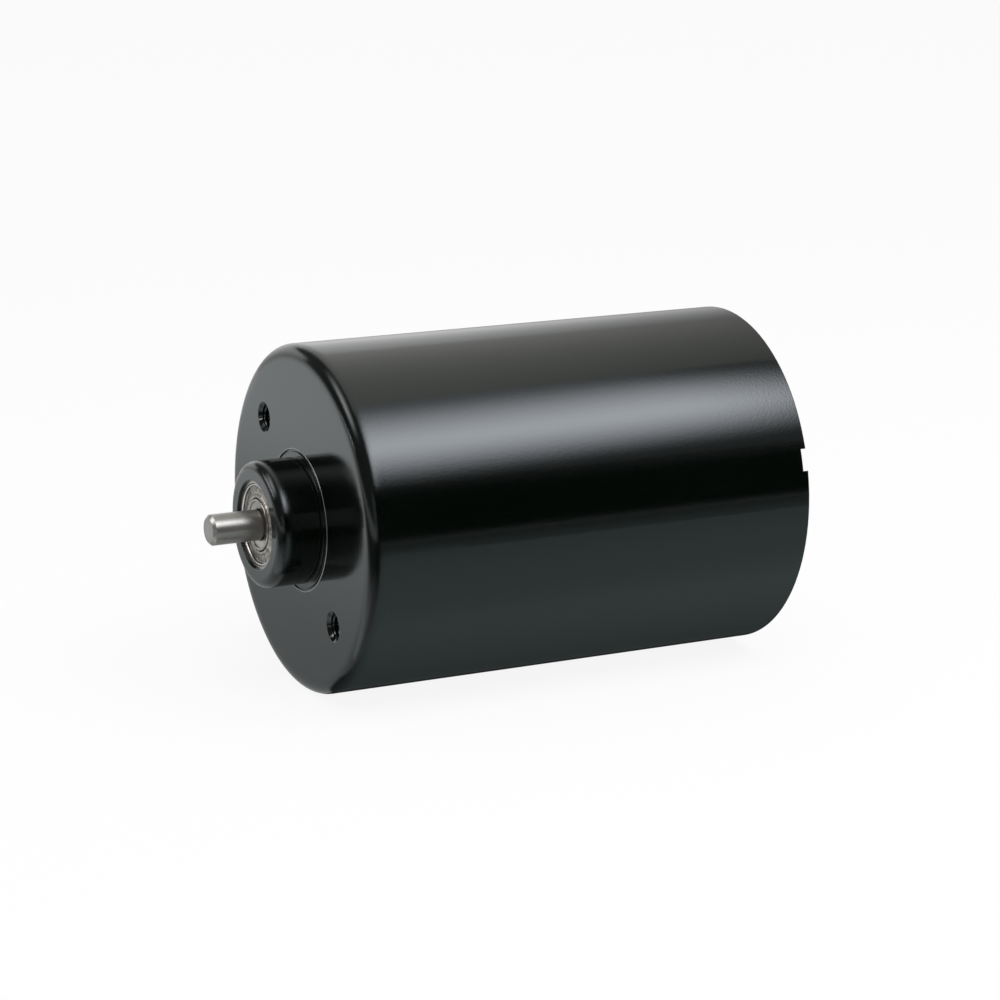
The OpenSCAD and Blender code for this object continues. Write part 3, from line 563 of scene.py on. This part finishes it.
nodeMaterials = {
    "can": blackCoat,
    "end_bell": moulded["blackNylon"],
    "wave_washer": metals["springSteel"],
    "front_bearing_outer_ring": metals["bearingSteel"],
    "front_bearing_inner_ring": metals["bearingSteel"],
    "front_bearing_balls": metals["polishedSteel"],
    "front_bearing_cage": metals["turnedBrass"],
    "front_bearing_shields": shieldSteel,
    "rear_bearing_outer_ring": metals["bearingSteel"],
    "rear_bearing_inner_ring": metals["bearingSteel"],
    "rear_bearing_balls": metals["polishedSteel"],
    "rear_bearing_cage": metals["turnedBrass"],
    "rear_bearing_shields": shieldSteel,
    "stator_core": electricalSteel,
    "front_slot_insulator": moulded["whiteNylon"],
    "rear_slot_insulator": moulded["whiteNylon"],
    "phase_u_coils": enamelledCopper,
    "phase_v_coils": enamelledCopper,
    "phase_w_coils": enamelledCopper,
    "winding_terminals": metals["tinnedPins"],
    "driver_board": boardLaminate,
    "board_screws": metals["polishedSteel"],
    "hall_sensors": moulded["chipEpoxy"],
    "driver_chip": moulded["chipEpoxy"],
    "power_transistors": moulded["chipEpoxy"],
    "filter_capacitors": metals["capacitorSleeve"],
    "connector_housing": moulded["whiteNylon"],
    "connector_pins": metals["tinnedPins"],
    "shaft": metals["groundShaft"],
    "rotor_core": electricalSteel,
    "rotor_magnets": metals["magnetPlating"],
    "rotor_sleeve": metals["springSteel"],
    "front_balance_ring": metals["turnedBrass"],
    "rear_balance_ring": metals["turnedBrass"],
    "front_spacer": metals["turnedBrass"],
    "rear_spacer": metals["turnedBrass"],
}
for nodeName, material in nodeMaterials.items():
    nodes[nodeName].material_slots[0].material = material
print("every CAD node has its material")


# Helpers for shapes. Edges flatter than these angles in degrees are shaded smooth.
smoothBelow = {"ring": 50, "wire": 60, "thread": 30}
mergeDistance = 0.0000005


def closeMesh():
    bpy.ops.mesh.select_all(action="SELECT")
    bpy.ops.mesh.remove_doubles(threshold=mergeDistance)
    bpy.ops.mesh.normals_make_consistent(inside=False)


# A profile of radii and depths in millimetres, put at a place on the axis and turned to face one way
def inMetres(profile, start=0.0, way=1):
    return [(radius / 1000, start + way * depth / 1000) for radius, depth in profile]


# Rings turned round the motor's axis: a circle is extruded from one profile point to the next, each
# point a radius and a place along the axis
def turnRing(name, profile, count, material):
    bpy.ops.object.select_all(action="DESELECT")
    radius, along = profile[0]
    bpy.ops.mesh.primitive_circle_add(vertices=count, radius=radius, location=(0, along, 0),
                                      rotation=(math.pi / 2, 0, 0))
    piece = bpy.context.active_object
    piece.name = name
    bpy.ops.object.transform_apply(location=True, rotation=True, scale=True)
    bpy.ops.object.mode_set(mode="EDIT")
    bpy.ops.mesh.select_all(action="SELECT")
    for nextRadius, nextAlong in profile[1:] + profile[:1]:
        bpy.ops.mesh.extrude_edges_move(TRANSFORM_OT_translate={"value": (0, nextAlong - along, 0)})
        size = nextRadius / radius
        bpy.ops.transform.resize(value=(size, 1, size), center_override=(0, nextAlong, 0))
        radius, along = nextRadius, nextAlong
    closeMesh()
    bpy.ops.object.mode_set(mode="OBJECT")
    bpy.ops.object.shade_smooth_by_angle(angle=math.radians(smoothBelow["ring"]))
    piece.data.materials.append(material)
    return piece


# A wire ring that is open for a part of its turn, as a spring clip is
def bendWire(name, values, along, material):
    bpy.ops.object.select_all(action="DESELECT")
    bpy.ops.mesh.primitive_circle_add(vertices=values["sides"], radius=values["wire"] / 2,
                                      location=(values["ringRadius"], along, 0))
    piece = bpy.context.active_object
    piece.name = name
    bpy.ops.object.transform_apply(location=True, rotation=True, scale=True)
    bpy.ops.object.mode_set(mode="EDIT")
    bpy.ops.mesh.select_all(action="SELECT")
    bpy.ops.mesh.spin(steps=values["steps"], angle=math.radians(360 - values["open"]),
                      center=(0, along, 0), axis=(0, 1, 0))
    bpy.ops.mesh.select_all(action="SELECT")
    bpy.ops.mesh.fill_holes(sides=values["sides"])
    closeMesh()
    bpy.ops.transform.rotate(value=math.radians(values["turn"]), orient_axis="Y", center_override=(0, 0, 0))
    bpy.ops.object.mode_set(mode="OBJECT")
    bpy.ops.object.shade_smooth_by_angle(angle=math.radians(smoothBelow["wire"]))
    piece.data.materials.append(material)
    return piece


# The pressed shields of both bearings, as radii and depths from the bearing's face in millimetres
shieldShape = {
    "profile": ((2.75, 0.150), (2.77, 0.112), (2.82, 0.100), (2.97, 0.100), (3.03, 0.115), (3.08, 0.165),
                (3.11, 0.225), (3.17, 0.250), (3.74, 0.250), (3.78, 0.275), (3.84, 0.275), (3.88, 0.250),
                (4.20, 0.250), (4.25, 0.280), (4.25, 0.400), (3.08, 0.400), (3.00, 0.360), (2.96, 0.265),
                (2.91, 0.250), (2.75, 0.250)),
    "count": 128,
}

# The wire clips that hold them
clipShape = {
    "ringRadius": 0.00411,
    "wire": 0.00022,
    "depth": 0.00013,
    "open": 16.0,
    "turn": 205.0,
    "sides": 10,
    "steps": 120,
}


def makeShields(bearing, shape, clipValues):
    low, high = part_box(bearing + "_bearing_outer_ring")
    shields = []
    for side, face, inward in (("Front", low[1], 1), ("Back", high[1], -1)):
        profile = inMetres(shape["profile"], face, inward)
        shields.append(turnRing(bearing + "Shield" + side, profile, shape["count"], shieldSteel))
        clip = bendWire(bearing + "Clip" + side, clipValues, face + inward * clipValues["depth"], metals["clipSteel"])
        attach(clip, "housing")
    for shield in shields:
        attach(shield, "housing")
        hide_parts(bearing + "_bearing_shields")


# The inner rings, with the step that their face has between the bore and the shield. Radii and depths
# are in millimetres. The front half of the profile is given, from the bore to the land beside the race,
# the race's arc is worked out, and the back half mirrors the front.
innerRingShape = {
    "half": ((1.5875, 0.340), (1.600, 0.290), (1.690, 0.185), (1.730, 0.170), (2.300, 0.170), (2.345, 0.150),
             (2.375, 0.045), (2.400, 0.012), (2.440, 0.000), (2.575, 0.000), (2.620, 0.014), (2.6485, 0.060)),
    "land": 2.6499,
    "raceCentre": 3.175,
    "raceRadius": 0.824,
    "raceSteps": 8,
    "count": 128,
}


def makeInnerRing(bearing, shape):
    low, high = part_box(bearing + "_bearing_inner_ring")
    width = (high[1] - low[1]) * 1000
    half = list(shape["half"])
    reach = math.acos((shape["raceCentre"] - shape["land"]) / shape["raceRadius"])
    for step in range(shape["raceSteps"] + 1):
        angle = reach * (1 - step / shape["raceSteps"])
        half.append((shape["raceCentre"] - shape["raceRadius"] * math.cos(angle),
                     width / 2 - shape["raceRadius"] * math.sin(angle)))
    both = half + [(radius, width - depth) for radius, depth in reversed(half[:-1])]
    ring = turnRing(bearing + "InnerRing", inMetres(both, low[1]), shape["count"], metals["bearingSteel"])
    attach(ring, "rotor")
    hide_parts(bearing + "_bearing_inner_ring")


for bearing in ("front", "rear"):
    makeShields(bearing, shieldShape, clipShape)
    makeInnerRing(bearing, innerRingShape)
print("the shields, their spring clips and the inner rings are made")


# The burr that the groove round the boss leaves at its outer edge, in millimetres
burrShape = {
    "profile": ((7.295, 0.05), (7.295, -0.012), (7.312, -0.030), (7.340, -0.036), (7.368, -0.026),
                (7.390, 0.004), (7.390, 0.05)),
    "count": 160,
}
# the burr's light grey metal is a painted highlight: the thin bright line round the groove
burr = turnRing("bossGrooveBurr", inMetres(burrShape["profile"]), burrShape["count"], metals["burrHighlightMetal"])
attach(burr, "housing")

# Thread ridges in the two tapped holes of the front plate
threadValues = {
    "pitch": 0.0005,
    "turns": 4,
    "steps": 48,
    "root": 0.00128,
    "crest": 0.00112,
    "width": 0.0004,
    "start": 0.00042,
    "places": {"Upper": (-0.008525, 0.009142), "Lower": (0.008525, -0.009142)},
}


def cutThread(values):
    bpy.ops.object.select_all(action="DESELECT")
    depth = values["root"] - values["crest"]
    # a triangle in a circle of radius 1 is 1.5 high, and its sides are the root of 3
    bpy.ops.mesh.primitive_circle_add(vertices=3, radius=1, rotation=(math.pi / 2, -math.pi / 2, 0),
                                      location=(values["crest"] + depth / 1.5, 0, 0))
    thread = bpy.context.active_object
    thread.scale = (values["width"] / math.sqrt(3), depth / 1.5, 1)
    bpy.ops.object.transform_apply(location=True, rotation=True, scale=True)
    screw = thread.modifiers.new("screw", "SCREW")
    screw.axis = "Z"
    screw.screw_offset = values["pitch"]
    screw.iterations = values["turns"]
    screw.steps = values["steps"]
    screw.render_steps = values["steps"]
    bpy.ops.object.modifier_apply(modifier=screw.name)
    bpy.ops.object.mode_set(mode="EDIT")
    bpy.ops.mesh.select_all(action="SELECT")
    bpy.ops.mesh.fill_holes(sides=3)
    closeMesh()
    bpy.ops.object.mode_set(mode="OBJECT")
    thread.data.materials.append(blackCoat)
    return thread


def placeThread(thread, side, values):
    x, z = values["places"][side]
    thread.name = "thread" + side
    bpy.ops.object.select_all(action="DESELECT")
    thread.select_set(True)
    bpy.context.view_layer.objects.active = thread
    thread.rotation_euler = (-math.pi / 2, 0, 0)
    thread.location = (x, values["start"], z)
    bpy.ops.object.transform_apply(location=True, rotation=True, scale=True)
    bpy.ops.object.shade_smooth_by_angle(angle=math.radians(smoothBelow["thread"]))
    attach(thread, "housing")


upperThread = cutThread(threadValues)
lowerThread = upperThread.copy()
lowerThread.data = upperThread.data.copy()
bpy.context.scene.collection.objects.link(lowerThread)
placeThread(upperThread, "Upper", threadValues)
placeThread(lowerThread, "Lower", threadValues)
print("the groove's burr and the threads are made")


# The table under the can
tableValues = {
    "size": 6.0,
    "color": (0.86, 0.86, 0.86),
    "cameraWhite": 0.9,    # share of plain white that the camera sees, the rest is lit table with its shadow
    "glossWhite": 0.35,    # the same share for reflections
}


def addTable(values):
    bpy.ops.object.select_all(action="DESELECT")
    bpy.ops.mesh.primitive_plane_add(size=values["size"], location=(0, 0, cadLow.z))
    table = bpy.context.active_object
    table.name = "table"
    material = bpy.data.materials.new("table")
    tree = clearTree(material)
    matt = addNode(tree, "ShaderNodeBsdfDiffuse", (0, 100), None, {"Color": (*values["color"], 1)})
    glow = addNode(tree, "ShaderNodeEmission", (0, -100), None, {"Strength": 1.0})
    rays = addNode(tree, "ShaderNodeLightPath", (-600, 0))
    mirrored = addMath(tree, "ADD", (-400, 0), rays.outputs["Is Glossy Ray"], rays.outputs["Is Transmission Ray"])
    mirroredShare = addMath(tree, "MULTIPLY", (-200, 0), mirrored, values["glossWhite"])
    share = addMath(tree, "MULTIPLY_ADD", (0, 300), rays.outputs["Is Camera Ray"], values["cameraWhite"],
                    mirroredShare, clamp=True)
    mixed = addNode(tree, "ShaderNodeMixShader", (300, 0), None, {0: share, 1: matt.outputs[0], 2: glow.outputs[0]})
    addNode(tree, "ShaderNodeOutputMaterial", (600, 0), None, {"Surface": mixed.outputs[0]})
    table.data.materials.append(material)


skyValues = {
    "shown": 1.0,    # what the camera and reflections see
    "light": 0.6,    # what lights the motor
}


def setSky(values):
    world = bpy.data.worlds.new("sky")
    bpy.context.scene.world = world
    tree = clearTree(world)
    rays = addNode(tree, "ShaderNodeLightPath", (-600, 0))
    direct = addMath(tree, "ADD", (-400, 0), rays.outputs["Is Camera Ray"], rays.outputs["Is Glossy Ray"])
    seen = addMath(tree, "ADD", (-200, 0), direct, rays.outputs["Is Transmission Ray"], clamp=True)
    strength = spread(tree, (0, 0), seen, values["light"], values["shown"])
    background = addNode(tree, "ShaderNodeBackground", (300, 0), None, {"Color": (1, 1, 1, 1), "Strength": strength})
    addNode(tree, "ShaderNodeOutputWorld", (600, 0), None, {"Surface": background.outputs[0]})


# Puts a lamp or card at a distance from the point that it aims at, turned by some degrees round the axis
# from the top towards +X, with its back to the outside, its width round the axis and its length along it.
# Tilt turns it in its own plane and stand tips it up about its width, both in degrees.
def placeRoundAxis(item, values):
    turn = math.radians(values["turn"])
    away = Vector((math.sin(turn), 0, math.cos(turn)))
    along = Vector((0, 1, 0))
    item.location = Vector(values["aim"]) + away * values["distance"]
    item.rotation_mode = "QUATERNION"
    turned = Matrix((along.cross(away), along, away)).transposed().to_quaternion()
    item.rotation_quaternion = turned @ Quaternion((0, 0, 1), math.radians(values.get("tilt", 0.0)))
    if "stand" in values:
        item.rotation_quaternion = item.rotation_quaternion @ Quaternion((1, 0, 0), math.radians(values["stand"]))


# A card is a flat sheet near the motor that only reflections see. Lean shears its long sides. Its glow can
# fall to the edge glow towards its low and high long edges and its near and far ends, each over a share of
# the width or length. The high rim is the share that stays at the edge glow, and the low base is the share
# of the glow that the low edge keeps.
cardValues = {
    "blackCard": {"turn": 90.0, "aim": (0, 0.09, 0.0251), "distance": 0.112, "width": 0.0698, "length": 0.26,
                  "glow": 0.0, "edgeGlow": 0.09, "lowFade": 0.25, "highFade": 0.12},
    "stripCard": {"turn": 35.4, "aim": (0.0306, 0.125, -0.0217), "distance": 0.34, "width": 0.4445, "length": 0.35,
                  "lean": 0.41, "glow": 8.8, "edgeGlow": 0.28, "lowFade": 0.484, "highFade": 0.427,
                  "highRim": 0.169, "lowBase": 0.09, "nearFade": 0.48, "farFade": 0.225, "color": (0.93, 0.95, 1.0)},
    "topCard": {"turn": -20.0, "aim": (0, 0.04, 0.0), "distance": 0.45, "width": 0.62, "length": 0.86,
                "glow": 1.0, "edgeGlow": 0.30, "lowFade": 0.005, "highFade": 0.005,
                "nearFade": 0.01, "farFade": 0.314, "color": (1.0, 1.0, 0.95)},
    "skyCard": {"turn": -76.0, "aim": (0, 0.045, 0.0), "distance": 0.45, "width": 0.37, "length": 0.69,
                "glow": 1.25, "edgeGlow": 0.35, "lowFade": 0.5, "highFade": 0.005,
                "nearFade": 0.01, "farFade": 0.283},
    "farSheet": {"turn": 180.0, "aim": (-0.2475, 0.22, 0.0), "distance": 0.0178, "width": 0.395, "length": 0.24,
                 "glow": 0.27, "edgeGlow": 0.7, "lowFade": 0.005, "highFade": 0.005,
                 "nearFade": 0.33, "farFade": 0.01},
    # sideSheet's glow falls to its edge glow next to the can: the can's shadow on the table, painted into reflections
    "sideSheet": {"turn": 180.0, "aim": (0.0877, 0.140, 0), "distance": 0.0178, "width": 0.1646, "length": 0.286,
                  "glow": 0.66, "edgeGlow": 0.07, "lowFade": 0.82, "highFade": 0.10,
                  "color": (0.84, 1.0, 1.0)},
    # frontSheet's glow falls towards the can's front: the can's shadow on the table, painted into reflections
    "frontSheet": {"turn": 180.0, "aim": (-0.105, -0.083, 0), "distance": 0.0178, "width": 0.16, "length": 0.25,
                   "tilt": 90.0, "glow": 1.15, "edgeGlow": 0.52, "lowFade": 0.01, "highFade": 0.35,
                   "color": (0.95, 1.0, 1.0)},
    "cornerSheet": {"turn": 180.0, "aim": (-0.019, -0.175, 0), "distance": 0.0177, "width": 0.20, "length": 0.28,
                    "tilt": 45.0, "glow": 0.10, "edgeGlow": 1.2, "lowFade": 0.01, "highFade": 0.22,
                    "color": (0.95, 1.0, 1.0)},
    # underShade is a painted contact shadow: a dark sheet where the table lies in shade under the can
    "underShade": {"turn": 180.0, "aim": (0.0035, 0.032, 0), "distance": 0.0178, "width": 0.0038, "length": 0.062,
                   "glow": 0.02},
    "leftSheet": {"turn": 180.0, "aim": (-0.0293, 0.0295, 0), "distance": 0.01795, "width": 0.0694, "length": 0.067,
                  "glow": 0.50, "edgeGlow": 0.12, "lowFade": 0.01, "highFade": 0.17,
                  "highRim": 0.055, "color": (0.95, 1.0, 1.0)},
    "footShade": {"turn": 180.0, "aim": (0.16, -0.083, 0), "distance": 0.0178, "width": 0.28, "length": 0.16,
                  "glow": 0.04, "edgeGlow": 0.45, "lowFade": 0.005, "highFade": 0.13},
    "frontShade": {"turn": 0.0, "aim": (-0.085, -0.25, 0.20), "distance": 0.0, "width": 1.07, "length": 0.36,
                   "stand": 90.0, "glow": 0.13},
    "upperShade": {"turn": 0.0, "aim": (-0.07, -0.21, 0), "distance": 0.17, "width": 0.86, "length": 0.41,
                   "glow": 0.15},
    "crescentCard": {"turn": 0.0, "aim": (-0.02, -0.122, 0), "distance": 0.165, "width": 0.20, "length": 0.17,
                     "tilt": -26.6, "glow": 4.8, "edgeGlow": 0.2, "lowFade": 0.55, "highFade": 0.4,
                     "nearFade": 0.42, "farFade": 0.5},
    "tipCard": {"turn": 0.0, "aim": (-0.0045, -0.0225, 0), "distance": 0.0142, "width": 0.018, "length": 0.006,
                "tilt": -25.4, "glow": 9.0, "edgeGlow": 2.0, "lowFade": 0.4, "highFade": 0.2},
}


def addCard(name, values):
    bpy.ops.object.select_all(action="DESELECT")
    bpy.ops.mesh.primitive_plane_add(size=1)
    card = bpy.context.active_object
    card.name = name
    placeRoundAxis(card, values)
    card.scale = (values["width"], values["length"], 1)
    lean = values.get("lean", 0.0) * values["length"] / values["width"]
    for vertex in card.data.vertices:
        vertex.co.x -= lean * vertex.co.y
    material = bpy.data.materials.new(name)
    tree = clearTree(material)
    strength = values["glow"]
    if "edgeGlow" in values:
        x, y, _ = splitPlace(tree, (-400, 0))
        across = addMath(tree, "MULTIPLY_ADD", (-300, 0), y, lean, x)
        rim = 0.5 - values.get("highRim", 0.0)
        low = ramp(tree, (-200, 100), across, -0.5, values["lowFade"] - 0.5, values.get("lowBase", 0.0), "SMOOTHSTEP")
        high = ramp(tree, (-200, -100), across, rim, rim - values["highFade"], kind="SMOOTHSTEP")
        both = addMath(tree, "MULTIPLY", (0, 0), low, high)
        if "nearFade" in values:
            near = ramp(tree, (-200, -300), y, -0.5, values["nearFade"] - 0.5, kind="SMOOTHSTEP")
            far = ramp(tree, (-200, -500), y, 0.5, 0.5 - values["farFade"], kind="SMOOTHSTEP")
            ends = addMath(tree, "MULTIPLY", (0, -300), near, far)
            both = addMath(tree, "MULTIPLY", (75, -100), both, ends)
        strength = spread(tree, (150, 0), both, values["edgeGlow"], values["glow"])
    color = (*values.get("color", (1, 1, 1)), 1)
    glow = addNode(tree, "ShaderNodeEmission", (300, 0), None, {"Strength": strength, "Color": color})
    addNode(tree, "ShaderNodeOutputMaterial", (600, 0), None, {"Surface": glow.outputs[0]})
    card.data.materials.append(material)
    card.visible_camera = False
    card.visible_diffuse = False
    card.visible_shadow = False
    card.visible_transmission = False


# The lamp lights and shades, and reflections don't see it
lampValues = {"turn": 30.0, "aim": (0, 0.10, 0.0), "distance": 0.45, "width": 0.30, "length": 0.50,
              "power": 1.6}


def addLamp(values):
    lampData = bpy.data.lights.new("softLamp", "AREA")
    lampData.shape = "RECTANGLE"
    lampData.size = values["width"]
    lampData.size_y = values["length"]
    lampData.energy = values["power"]
    lamp = bpy.data.objects.new("softLamp", lampData)
    bpy.context.scene.collection.objects.link(lamp)
    placeRoundAxis(lamp, values)
    lamp.visible_glossy = False


addTable(tableValues)
setSky(skyValues)
for cardName, values in cardValues.items():
    addCard(cardName, values)
addLamp(lampValues)
bpy.context.scene.view_settings.view_transform = "Standard"
print("the table, the sky, the cards and the lamp are set")
